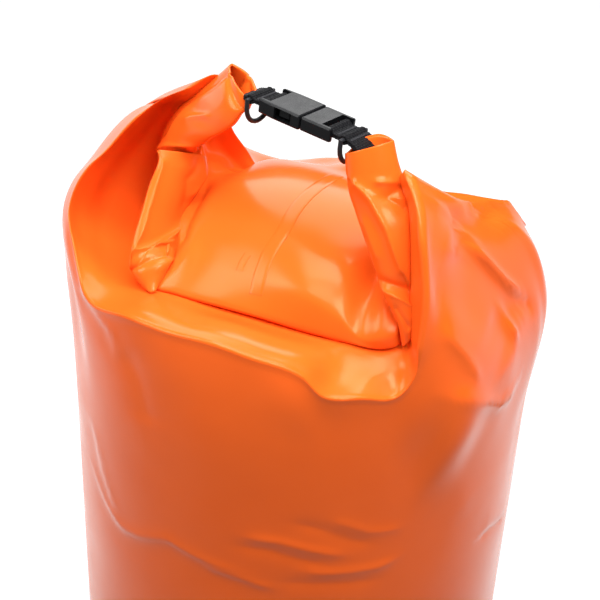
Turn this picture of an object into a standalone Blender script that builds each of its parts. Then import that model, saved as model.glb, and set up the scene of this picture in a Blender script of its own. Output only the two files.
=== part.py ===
"""Roll-top dry bag, closed: a round welded bag whose mouth is rolled down,
with the two ends of the roll turned up as horns and clipped together by a
side-release buckle on webbing, which makes the carrying handle.

Frame: origin at the middle of the base, +Z up, X along the roll, -Y the side
towards which the mouth is rolled. Metres."""
import bpy
import bmesh
import numpy as np
from math import pi, sin, cos, radians
from mathutils import Vector, Matrix

# ------------------------------------------------------------ dimensions
GAP = 0.0004            # clearance between pieces that touch
R_BAG = 0.155           # outer radius of the filled bag
T_FABRIC = 0.0012       # wall of the coated-fabric shell
Z_CREASE = 0.510        # height of the shoulder crease at the front
Z_SIDE = 0.497          # height of the shoulder crease at the two sides
Z_BACK = 0.486          # height of the shoulder crease at the back
Z_MOUTH = 0.4925        # height of the neck under the roll
NECK_RX = 0.122         # half width of the neck
NECK_RY = 0.058         # half depth of the neck
NECK_Y = -0.012         # centre of the neck
SIDES = 44

BASE_T = 0.0010         # thickness of the base disc
BASE_FLANGE = 0.016     # height of its upturned welded flange

FOLD_TOP = 0.546        # highest point of the puffed-up fold behind the roll
ROLL_W = 0.046          # depth of the rolled mouth
ROLL_H = 0.036          # height of the rolled mouth
ROLL_WALL = 0.0030      # three double turns of fabric
STRIP_W = 0.022         # mouth stiffener
STRIP_T = 0.0012

WEB_W = 0.020           # webbing width
WEB_T = 0.0026          # two layers of webbing
BUCKLE_C = Vector((0.0148, -0.0440, 0.6105))    # centre of the closed buckle
BUCKLE_YAW = radians(-11.5)                     # its axis, turned about Z
BUCKLE_TILT = radians(-8.0)                     # its face, turned about its axis
HOUSING_L = 0.031
HOUSING_W = 0.0268
HOUSING_T = 0.0092
BAR_X = 0.0232          # webbing bars, from the buckle's centre
BAR_R = 0.0017
RELEASE = 0.030         # travel that parts the two halves
ARM_ROOT = 0.0062       # where the latch arms flex
RING_WIRE = 0.0015      # wire radius of the D-rings
RING_W = 0.0245         # between the wire centres
RING_DROP = 0.0165      # from the bar to the bottom of the bow
RING_X = 0.0345         # D-ring bars, from the buckle's centre

for o in list(bpy.data.objects):
    bpy.data.objects.remove(o, do_unlink=True)


# ------------------------------------------------------------ helpers
def material(name, rgb, rough, metallic=0.0):
    m = bpy.data.materials.new(name)
    m.use_nodes = True
    b = m.node_tree.nodes["Principled BSDF"]
    b.inputs["Base Color"].default_value = (*rgb, 1.0)
    b.inputs["Roughness"].default_value = rough
    b.inputs["Metallic"].default_value = metallic
    return m


ORANGE = (0.90, 0.17, 0.012)
BLACK = (0.018, 0.018, 0.020)


def put(name, bm, mat, origin=(0, 0, 0), smooth=True):
    """A mesh object from bm, whose points are in world space, with its
    origin moved to the given point."""
    bmesh.ops.recalc_face_normals(bm, faces=bm.faces[:])
    origin = Vector(origin)
    bmesh.ops.translate(bm, verts=bm.verts[:], vec=-origin)
    me = bpy.data.meshes.new(name)
    bm.to_mesh(me)
    bm.free()
    me.materials.append(mat)
    if smooth:
        me.shade_smooth()
        me.set_sharp_from_angle(angle=radians(40))
    o = bpy.data.objects.new(name, me)
    o.location = origin
    bpy.context.collection.objects.link(o)
    return o


def skin(bm, rings, closed=True):
    """Faces between successive rings of equally many points."""
    made = [[bm.verts.new(p) for p in r] for r in rings]
    n = len(made[0])
    for a, b in zip(made[:-1], made[1:]):
        for i in range(n if closed else n - 1):
            j = (i + 1) % n
            bm.faces.new((a[i], a[j], b[j], b[i]))
    return made


def shell(name, rings, wall, mat):
    """An open-ended tube: the rings are its outside, and the inside follows
    them one wall thickness in, along each ring's own plane."""
    inner = []
    for r in rings:
        c = sum(r, Vector()) / len(r)
        n = len(r)
        row = []
        for i, p in enumerate(r):
            t = (r[(i + 1) % n] - r[i - 1]).normalized()
            inward = (c - p) - t * (c - p).dot(t)
            row.append(p + inward.normalized() * wall)
        inner.append(row)
    bm = bmesh.new()
    a = skin(bm, rings)
    b = skin(bm, inner)
    n = len(rings[0])
    for end in (0, -1):
        for i in range(n):
            j = (i + 1) % n
            bm.faces.new((a[end][i], a[end][j], b[end][j], b[end][i]))
    return put(name, bm, mat)


def solid(name, rings, mat, origin=(0, 0, 0)):
    """A closed body: rings skinned and both ends filled."""
    bm = bmesh.new()
    a = skin(bm, rings)
    for end in (a[0], a[-1]):
        c = bm.verts.new(sum((v.co for v in end), Vector()) / len(end))
        for i in range(len(end)):
            bm.faces.new((end[i], end[(i + 1) % len(end)], c))
    return put(name, bm, mat, origin)


def mix(a, b, t):
    return a + (b - a) * t


def ease(t):
    t = min(max(t, 0.0), 1.0)
    return t * t * (3 - 2 * t)


# ------------------------------------------------------------ bag wall
def crease_height(th):
    front = max(-sin(th), 0.0)
    back = max(sin(th), 0.0)
    return Z_SIDE + (Z_CREASE - Z_SIDE) * front + (Z_BACK - Z_SIDE) * back


def wall_ring(level):
    """level 0 is the foot, 1 the shoulder crease, 2 the neck."""
    pts = []
    for i in range(SIDES):
        th = 2 * pi * i / SIDES
        zc = crease_height(th)
        if level <= 1:
            z = mix(BASE_T + GAP, zc, level)
            r = R_BAG - BASE_T - GAP
            if level > 0.04:
                r = R_BAG + 0.0006 * sin(pi * level)
            pts.append(Vector((r * cos(th), r * sin(th), z)))
        else:
            t = level - 1
            p = Vector((R_BAG * cos(th), R_BAG * sin(th), zc))
            q = Vector((NECK_RX * cos(th), NECK_Y + NECK_RY * sin(th), Z_MOUTH))
            m = p.lerp(q, t)
            side = abs(cos(th)) ** 2
            m.z += (0.008 + 0.012 * side) * sin(pi * t)
            pts.append(m)
    return pts


bag_mat = material("bag_fabric", ORANGE, 0.32)
levels = [0.0, 0.034, 0.05, 0.25, 0.5, 0.75, 0.92, 0.985, 1.04, 1.25, 1.5, 1.75, 2.0]
shell("bag_wall", [wall_ring(v) for v in levels], T_FABRIC, bag_mat)

# ------------------------------------------------------------ base disc
# a disc with an upturned flange, welded round the foot of the wall
bm = bmesh.new()
prof = [(0.0, 0.0), (R_BAG - 0.001, 0.0), (R_BAG + 0.0004, 0.0012),
        (R_BAG + 0.0006, BASE_FLANGE), (R_BAG - 0.0004, BASE_FLANGE),
        (R_BAG - BASE_T, BASE_T * 1.15), (0.0, BASE_T)]
rings = []
for r, z in prof[1:-1]:
    rings.append([Vector((r * cos(2 * pi * i / SIDES), r * sin(2 * pi * i / SIDES), z))
                  for i in range(SIDES)])
a = skin(bm, rings)
for end, z in ((a[0], 0.0), (a[-1], BASE_T)):
    c = bm.verts.new((0, 0, z))
    for i in range(SIDES):
        bm.faces.new((end[i], end[(i + 1) % SIDES], c))
put("base_disc", bm, material("base_fabric", ORANGE, 0.35))


# ------------------------------------------------------------ top fold
# the back of the bag drawn over to the roll, puffed up by trapped air
def fold_ring(k, drop=0.0):
    s = [0.985, 0.975, 0.90, 0.74, 0.50, 0.25][k]
    h = [0.0, 0.10, 0.42, 0.76, 0.95, 1.0][k]
    pts = []
    for i in range(32):
        th = 2 * pi * i / 32
        x, y = NECK_RX * s * cos(th), NECK_Y + NECK_RY * s * sin(th)
        wide = 1 - 0.62 * (abs(x) / NECK_RX) ** 1.3
        z = Z_MOUTH + GAP + 0.001 + (FOLD_TOP - Z_MOUTH) * h * wide - drop
        pts.append(Vector((x, y, z)))
    return pts


bm = bmesh.new()
a = skin(bm, [fold_ring(k) for k in range(6)])
b = skin(bm, [[Vector((p.x * 0.985, NECK_Y + (p.y - NECK_Y) * 0.975, p.z - (0.0 if k == 0 else 0.0016)))
               for p in fold_ring(k)] for k in range(6)])
n = 32
for i in range(n):
    j = (i + 1) % n
    bm.faces.new((a[0][i], a[0][j], b[0][j], b[0][i]))
for ring in (a[-1], b[-1]):
    c = bm.verts.new(sum((v.co for v in ring), Vector()) / n)
    for i in range(n):
        bm.faces.new((ring[i], ring[(i + 1) % n], c))
put("top_fold", bm, material("fold_fabric", ORANGE, 0.32))


# ------------------------------------------------------------ roll and horns
def oval(c, u, v, a, b, n=20, flat=2.6):
    """A ring about c, with half sizes a along u and b along v."""
    out = []
    for i in range(n):
        t = 2 * pi * i / n
        cu, sv = cos(t), sin(t)
        out.append(c + u * (a * np.sign(cu) * abs(cu) ** (2 / flat))
                   + v * (b * np.sign(sv) * abs(sv) ** (2 / flat)))
    return out


def along(points, n):
    """n places evenly along a smooth curve through the points."""
    pts = [Vector(p) for p in points]
    ext = [pts[0] * 2 - pts[1]] + pts + [pts[-1] * 2 - pts[-2]]
    dense = []
    for k in range(1, len(ext) - 2):
        p0, p1, p2, p3 = ext[k - 1:k + 3]
        for s in range(16):
            t = s / 16
            dense.append(0.5 * ((2 * p1) + (p2 - p0) * t + (2 * p0 - 5 * p1 + 4 * p2 - p3) * t * t
                                + (3 * p1 - p0 - 3 * p2 + p3) * t ** 3))
    dense.append(pts[-1])
    ln = [0.0]
    for p, q in zip(dense[:-1], dense[1:]):
        ln.append(ln[-1] + (q - p).length)
    out = []
    for i in range(n):
        w = ln[-1] * i / (n - 1)
        k = max(j for j in range(len(ln)) if ln[j] <= w + 1e-12)
        k = min(k, len(dense) - 2)
        f = (w - ln[k]) / max(ln[k + 1] - ln[k], 1e-9)
        out.append(dense[k].lerp(dense[k + 1], f))
    return out


Y = Vector((0, 1, 0))
Z = Vector((0, 0, 1))

# the roll lies across the front of the neck, a little lower at its right end
ROLL_LEFT = Vector((-0.046, -0.0985, 0.5285))
ROLL_RIGHT = Vector((0.085, -0.0965, 0.5240))
roll_rings = []
for i in range(9):
    t = i / 8
    c = ROLL_LEFT.lerp(ROLL_RIGHT, t) + Vector((0, -0.004 * sin(pi * t), 0.002 * sin(pi * t)))
    roll_rings.append(oval(c, Y, Z, ROLL_W / 2, ROLL_H / 2))
shell("rolled_mouth", roll_rings, ROLL_WALL, material("roll_fabric", ORANGE, 0.30))

strip = []
for i in range(7):
    t = 0.03 + 0.94 * i / 6
    c = ROLL_LEFT.lerp(ROLL_RIGHT, t) + Vector((0, -0.004 * sin(pi * t), 0.002 * sin(pi * t)))
    w, h = Y * STRIP_W / 2, Z * STRIP_T / 2
    strip.append([c + w + h, c - w + h, c - w - h, c + w - h])
solid("mouth_stiffener", strip, material("stiffener_plastic", (0.75, 0.75, 0.72), 0.45))


def horn(name, path, n, wide, thick, wall, mat):
    """A flattened tube along a path. wide and thick give its half sizes at
    the places where the path starts and ends, with the wide direction at
    each end."""
    pts = along(path, n)
    rings = []
    for i, c in enumerate(pts):
        t = i / (n - 1)
        u = wide[0][1].lerp(wide[1][1], ease(t)).normalized()
        tan = (pts[min(i + 1, n - 1)] - pts[max(i - 1, 0)]).normalized()
        u = (u - tan * u.dot(tan)).normalized()
        v = tan.cross(u).normalized()
        rings.append(oval(c, u, v, mix(wide[0][0], wide[1][0], t), mix(thick[0], thick[1], t)))
    return shell(name, rings, wall, mat)


yaw = Matrix.Rotation(BUCKLE_YAW, 3, 'Z')
AX = yaw @ Vector((1, 0, 0))            # along the buckle, female to male
ACROSS = yaw @ Vector((0, 1, 0))        # across the webbing

horn_mat = material("horn_fabric", ORANGE, 0.32)
horn("left_horn",
     [(-0.0600, -0.0890, 0.5280), (-0.0680, -0.0640, 0.5330), (-0.0800, -0.0390, 0.5405),
      (-0.0890, -0.0190, 0.5560), (-0.0740, -0.0225, 0.5770), (-0.0395, -0.0322, 0.6030)],
     15, ((0.0140, Vector((0.5, 0.1, 0.55))), (0.0162, ACROSS)), (0.0075, 0.0082), 0.0014, horn_mat)
# the right horn in two lengths, parted by a level gap: the foot stays with
# the roll, the top moves with the webbing and the loose half of the buckle
foot_top = 0.5470


def level_ring(c, a, b, n=20):
    return oval(c, ACROSS, AX, a, b, n)


rf = [level_ring(Vector((0.0965, -0.0880 + 0.010 * t, mix(0.5070, foot_top, t))),
                 mix(0.0135, 0.0150, t), mix(0.0070, 0.0105, t)) for t in (0, 0.33, 0.66, 1.0)]
shell("right_horn_foot", rf, 0.0014, material("horn_foot_fabric", ORANGE, 0.32))
rt = []
for i in range(8):
    t = i / 7
    c = Vector((mix(0.0945, 0.0668, ease(t)), mix(-0.0770, -0.0545, t), mix(foot_top + 0.0015, 0.6010, t)))
    rt.append(level_ring(c, mix(0.0150, 0.0158, t), mix(0.0105, 0.0088, t)))
shell("right_horn_top", rt, 0.0014, material("horn_top_fabric", ORANGE, 0.32))


# gussets: the sides of the bag drawn up from the shoulders to the horns,
# each a low wedge that narrows upward
def gusset(name, foot, top, foot_half, top_half, thick, mat):
    rings = []
    for i in range(6):
        t = i / 5
        c = Vector(foot).lerp(Vector(top), t)
        h = mix(foot_half, top_half, t ** 0.8)
        w = mix(thick, thick * 0.6, t) / 2
        rings.append([c + Vector((-w, -h, 0)), c + Vector((w, -h, 0)), c + Vector((w, h, 0)), c + Vector((-w, h, 0))])
    return solid(name, rings, mat)


gusset("left_gusset", (-0.1320, -0.0100, 0.5180), (-0.1120, 0.0060, 0.5900), 0.052, 0.009, 0.010,
       material("left_gusset_fabric", ORANGE, 0.34))
gusset("right_gusset", (0.1320, -0.0100, 0.5180), (0.1190, -0.0100, 0.5820), 0.052, 0.009, 0.010,
       material("right_gusset_fabric", ORANGE, 0.34))

# ------------------------------------------------------------ buckle frame
FACE = Matrix.Rotation(BUCKLE_YAW, 4, 'Z') @ Matrix.Rotation(BUCKLE_TILT, 4, 'X')
BUCKLE = Matrix.Translation(BUCKLE_C) @ FACE


def box_bm(lo, hi):
    bm = bmesh.new()
    bmesh.ops.create_cube(bm, size=1.0)
    lo, hi = Vector(lo), Vector(hi)
    for v in bm.verts:
        v.co = Vector((lo[k] + (v.co[k] + 0.5) * (hi[k] - lo[k]) for k in range(3)))
    return bm


def cyl_bm(p, q, r, n=16):
    """A closed cylinder from p to q."""
    p, q = Vector(p), Vector(q)
    d = (q - p).normalized()
    u = d.orthogonal().normalized()
    v = d.cross(u)
    bm = bmesh.new()
    rings = [[c + (u * cos(2 * pi * i / n) + v * sin(2 * pi * i / n)) * r for i in range(n)] for c in (p, q)]
    a = skin(bm, rings)
    bm.faces.new(a[0][::-1])
    bm.faces.new(a[1])
    bmesh.ops.recalc_face_normals(bm, faces=bm.faces[:])
    return bm


def local(name, bm, mat, origin=(0, 0, 0), bevel=0.0, ops=()):
    """An object in the buckle's frame, with its origin at a point of that
    frame, bevelled, then joined with or cut by the given bodies."""
    bmesh.ops.recalc_face_normals(bm, faces=bm.faces[:])
    bmesh.ops.translate(bm, verts=bm.verts[:], vec=-Vector(origin))
    me = bpy.data.meshes.new(name)
    bm.to_mesh(me)
    bm.free()
    me.materials.append(mat)
    o = bpy.data.objects.new(name, me)
    bpy.context.collection.objects.link(o)
    o.matrix_world = BUCKLE @ Matrix.Translation(Vector(origin))
    if bevel:
        m = o.modifiers.new("round", 'BEVEL')
        m.width = bevel
        m.segments = 2
        m.limit_method = 'ANGLE'
        m.angle_limit = radians(50)
    for k, (op, tool) in enumerate(ops):
        t = bpy.data.meshes.new("%s_tool_%d" % (name, k))
        bmesh.ops.translate(tool, verts=tool.verts[:], vec=-Vector(origin))
        bmesh.ops.recalc_face_normals(tool, faces=tool.faces[:])
        tool.to_mesh(t)
        tool.free()
        c = bpy.data.objects.new("%s_cutter_%d" % (name, k), t)
        bpy.context.collection.objects.link(c)
        c.matrix_world = o.matrix_world
        c.hide_render = True
        c.display_type = 'WIRE'
        b = o.modifiers.new("op%d" % k, 'BOOLEAN')
        b.operation = op
        b.solver = 'EXACT'
        b.object = c
    return o


plastic = material("buckle_plastic", BLACK, 0.42)
plastic_m = material("male_plastic", BLACK, 0.42)
plastic_a = material("latch_plastic", BLACK, 0.40)

HW, HT = HOUSING_W / 2, HOUSING_T / 2
H0 = -0.0262                        # strap end of the housing
H1 = H0 + HOUSING_L                 # its open mouth
outline = [(H0, 0.0124), (H0 + 0.004, 0.0128), (H0 + 0.012, HW), (H1, HW)]
bm = bmesh.new()
pts = [(x, y) for x, y in outline] + [(x, -y) for x, y in outline[::-1]]
skin_rings = [[Vector((x, y, z)) for x, y in pts] for z in (-HT, HT)]
a = skin(bm, skin_rings)
bm.faces.new(a[0][::-1])
bm.faces.new(a[1])
local("buckle_housing", bm, plastic, bevel=0.0012, ops=[
    ('DIFFERENCE', box_bm((H0 + 0.0095, -0.0109, -0.0030), (H1 + 0.004, 0.0109, 0.0030))),
    # side windows, where the latch arms are pressed
    ('DIFFERENCE', box_bm((H0 + 0.0125, -0.020, -0.0036), (H1 - 0.0062, 0.020, 0.0036))),
    # the webbing's slot, with a round bar across it
    ('DIFFERENCE', box_bm((H0 - 0.004, -0.0104, -0.010), (-BAR_X + 0.0040, 0.0104, 0.010))),
    ('UNION', cyl_bm((-BAR_X, -0.0112, 0), (-BAR_X, 0.0112, 0), BAR_R)),
])

# male half: a strap end with two slots, a guide tongue, and two latch arms
M0 = H1 + 0.0004
M1 = 0.0270
bm = box_bm((M0, -0.0128, -HT * 0.94), (M1, 0.0128, HT * 0.94))
local("buckle_plug", bm, plastic_m, bevel=0.0011, ops=[
    ('UNION', box_bm((H0 + 0.0125, -0.0016, -0.0024), (M0 + 0.001, 0.0016, 0.0024))),
    ('DIFFERENCE', box_bm((BAR_X - 0.0044, -0.0104, -0.010), (M1 + 0.004, 0.0104, 0.010))),
    ('UNION', cyl_bm((BAR_X, -0.0112, 0), (BAR_X, 0.0112, 0), BAR_R)),
    ('DIFFERENCE', box_bm((M0 - 0.002, 0.0030, -0.0031), (ARM_ROOT + 0.0008, 0.0112, 0.0031))),
    ('DIFFERENCE', box_bm((M0 - 0.002, -0.0112, -0.0031), (ARM_ROOT + 0.0008, -0.0030, 0.0031))),
])

for side, nm in ((-1, "front_latch_arm"), (1, "rear_latch_arm")):
    # a flat spring arm with a thick finger pad at its free end
    out = [(ARM_ROOT, 0.0062), (-0.0010, 0.0070), (-0.0045, 0.0102), (-0.0115, 0.0104),
           (-0.0145, 0.0078), (-0.0145, 0.0056), (-0.0050, 0.0062), (ARM_ROOT, 0.0042)]
    bm = bmesh.new()
    prof = [(x, side * y) for x, y in out]
    a = skin(bm, [[Vector((x, y, z)) for x, y in prof] for z in (-0.0024, 0.0024)])
    bm.faces.new(a[0][::-1])
    bm.faces.new(a[1])
    local(nm, bm, plastic_a, origin=(ARM_ROOT, side * 0.0052, 0.0), bevel=0.0004)


# ------------------------------------------------------------ webbing
def webbing(name, path, loop_x, ring_x, mat):
    """A doubled strap along a path in the buckle's XZ plane, with an eye
    round the buckle's bar and another round the D-ring's bar."""
    pts = [Vector((x, 0, z)) for x, z in path]
    up, dn = [], []
    for i, p in enumerate(pts):
        t = (pts[min(i + 1, len(pts) - 1)] - pts[max(i - 1, 0)]).normalized()
        nrm = Vector((-t.z, 0, t.x))
        up.append(p + nrm * WEB_T / 2)
        dn.append(p - nrm * WEB_T / 2)
    prof = up + dn[::-1]
    bm = bmesh.new()
    a = skin(bm, [[p + Vector((0, y, 0)) for p in prof] for y in (-WEB_W / 2, WEB_W / 2)])
    bm.faces.new(a[0][::-1])
    bm.faces.new(a[1])
    w = WEB_W / 2
    return local(name, bm, mat, ops=[
        ('UNION', cyl_bm((loop_x, -w, 0), (loop_x, w, 0), BAR_R + 0.0013, 18)),
        ('UNION', cyl_bm((ring_x, -w, 0), (ring_x, w, 0), RING_WIRE + 0.0016, 18)),
        ('DIFFERENCE', cyl_bm((loop_x, -w - 0.002, 0), (loop_x, w + 0.002, 0), BAR_R + 0.0004, 18)),
        ('DIFFERENCE', cyl_bm((ring_x, -w - 0.002, 0), (ring_x, w + 0.002, 0), RING_WIRE + 0.0004, 18)),
    ])


strap = material("webbing_weave", BLACK, 0.8)
strap_r = material("webbing_weave_right", BLACK, 0.8)
webbing("left_webbing",
        [(-BAR_X, 0.0), (-0.0300, -0.0002), (-0.0390, -0.0006), (-0.0460, -0.0030), (-0.0520, -0.0070), (-0.0640, -0.0165)],
        -BAR_X, -RING_X, strap)
webbing("right_webbing",
        [(BAR_X, 0.0), (0.0300, -0.0002), (0.0390, -0.0008), (0.0455, -0.0040), (0.0490, -0.0085), (0.0520, -0.0170)],
        BAR_X, RING_X, strap_r)


# ------------------------------------------------------------ D-rings
def d_ring(name, x, mat):
    """A straight bar across the strap with a bow below it, one closed loop
    of round wire, drawn straight down from the bar."""
    h = RING_W / 2
    down = FACE.to_3x3().inverted() @ Vector((0, 0, -1))
    across = Vector((0, 1, 0))
    down = (down - across * down.dot(across)).normalized()
    path = []
    for i in range(7):
        path.append(across * mix(-h, h, i / 6))
    for i in range(1, 14):
        t = pi * i / 14
        path.append(across * (h * cos(t)) * (1 if abs(cos(t)) < 0.96 else 1) + down * (RING_DROP * sin(t) ** 0.75))
    n = len(path)
    bm = bmesh.new()
    rings = []
    side = across.cross(down).normalized()
    for i, p in enumerate(path):
        t = (path[(i + 1) % n] - path[i - 1]).normalized()
        nrm = side.cross(t).normalized()
        rings.append([bm.verts.new(Vector((x, 0, 0)) + p + (nrm * cos(2 * pi * k / 10) + side * sin(2 * pi * k / 10)) * RING_WIRE)
                      for k in range(10)])
    for i in range(n):
        a, b = rings[i], rings[(i + 1) % n]
        for k in range(10):
            bm.faces.new((a[k], a[(k + 1) % 10], b[(k + 1) % 10], b[k]))
    return local(name, bm, mat, origin=(x, 0, 0))


d_ring("left_d_ring", -RING_X, material("left_ring_plastic", BLACK, 0.38))
d_ring("right_d_ring", RING_X, material("right_ring_plastic", BLACK, 0.38))
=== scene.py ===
import bpy
import bmesh
import numpy as np
from math import sin, cos, pi, radians
from mathutils import Vector, Matrix


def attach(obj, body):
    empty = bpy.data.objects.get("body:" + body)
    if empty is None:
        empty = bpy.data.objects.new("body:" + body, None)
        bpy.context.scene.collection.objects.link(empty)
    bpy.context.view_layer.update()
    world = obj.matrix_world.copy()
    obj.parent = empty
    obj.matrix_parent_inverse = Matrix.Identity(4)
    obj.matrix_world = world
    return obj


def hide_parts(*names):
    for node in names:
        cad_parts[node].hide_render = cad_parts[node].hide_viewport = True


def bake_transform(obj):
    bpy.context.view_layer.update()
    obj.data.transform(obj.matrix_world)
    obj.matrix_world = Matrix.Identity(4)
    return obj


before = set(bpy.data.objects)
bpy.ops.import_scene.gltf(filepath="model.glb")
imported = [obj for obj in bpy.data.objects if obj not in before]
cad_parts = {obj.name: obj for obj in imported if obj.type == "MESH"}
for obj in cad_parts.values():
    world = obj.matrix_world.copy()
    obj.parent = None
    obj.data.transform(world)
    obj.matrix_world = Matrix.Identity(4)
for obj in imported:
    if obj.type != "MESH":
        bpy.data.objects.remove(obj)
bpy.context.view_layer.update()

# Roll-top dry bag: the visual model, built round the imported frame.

LIFT = 440.0            # the tables below are in millimetres from this height


# =====================================================================
#  helpers
# =====================================================================
def hermite(P, n_sub, closed=False, sharp=()):
    """A smooth curve through the points P (k, ..., 3), with n_sub steps per
    interval. A sharp point has a tangent of its own on each side."""
    k = len(P)
    d = (np.roll(P, -1, 0) - P) if closed else np.diff(P, axis=0)
    L = np.linalg.norm(d, axis=-1, keepdims=True) + 1e-9
    unit = d / L
    n_int = len(d)
    out = []
    for i in range(n_int):
        a, b = P[i], P[(i + 1) % k]
        li = L[i]

        def tangent(j, side):
            lo, hi = j - 1, j
            if closed:
                lo, hi = lo % n_int, hi % n_int
            elif j == 0:
                return unit[0]
            elif j == k - 1:
                return unit[-1]
            w0, w1 = L[hi], L[lo]
            t = (unit[lo] * w0 + unit[hi] * w1) / (w0 + w1)
            t = t / (np.linalg.norm(t, axis=-1, keepdims=True) + 1e-9)
            s = sharp.get(j, 0.0) if isinstance(sharp, dict) else 0.0
            if np.any(np.asarray(s) > 0):
                own = unit[hi] if side > 0 else unit[lo]
                t = t * (1 - s) + own * s
            return t
        ta = tangent(i, +1) * li
        tb = tangent((i + 1) % k if closed else i + 1, -1) * li
        for s in range(n_sub[i] if hasattr(n_sub, "__len__") else n_sub):
            t = s / (n_sub[i] if hasattr(n_sub, "__len__") else n_sub)
            h00, h10 = 2 * t**3 - 3 * t**2 + 1, t**3 - 2 * t**2 + t
            h01, h11 = -2 * t**3 + 3 * t**2, t**3 - t**2
            out.append(h00 * a + h10 * ta + h01 * b + h11 * tb)
    if not closed:
        out.append(P[-1])
    return np.array(out)


def grid_mesh(name, V, mat, closed_u=True, uv=None, smooth=True, flip=False):
    """V is (nu, nv, 3) in metres."""
    nu, nv = V.shape[:2]
    co = V.reshape(-1, 3)
    iu = np.arange(nu if closed_u else nu - 1)
    iv = np.arange(nv - 1)
    A, B = np.meshgrid(iu, iv, indexing="ij")
    A2 = (A + 1) % nu
    q = np.stack([A * nv + B, A2 * nv + B, A2 * nv + B + 1, A * nv + B + 1], -1).reshape(-1, 4)
    if flip:
        q = q[:, ::-1]
    me = bpy.data.meshes.new(name)
    me.vertices.add(len(co))
    me.vertices.foreach_set("co", co.astype(np.float32).ravel())
    me.loops.add(q.size)
    me.loops.foreach_set("vertex_index", q.astype(np.int32).ravel())
    me.polygons.add(len(q))
    me.polygons.foreach_set("loop_start", np.arange(0, q.size, 4, dtype=np.int32))
    me.polygons.foreach_set("loop_total", np.full(len(q), 4, dtype=np.int32))
    if uv is not None:
        lay = me.uv_layers.new(name="UVMap")
        U = uv(A, B)
        lay.data.foreach_set("uv", (U[:, ::-1] if flip else U).astype(np.float32).reshape(-1))
    me.update(calc_edges=True)
    me.validate()
    if smooth:
        me.polygons.foreach_set("use_smooth", np.ones(len(me.polygons), dtype=bool))
    me.materials.append(mat)
    o = bpy.data.objects.new(name, me)
    bpy.context.collection.objects.link(o)
    return o


def link(name, me, mat=None):
    if mat is not None and not me.materials:
        me.materials.append(mat)
    o = bpy.data.objects.new(name, me)
    bpy.context.collection.objects.link(o)
    return o

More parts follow.
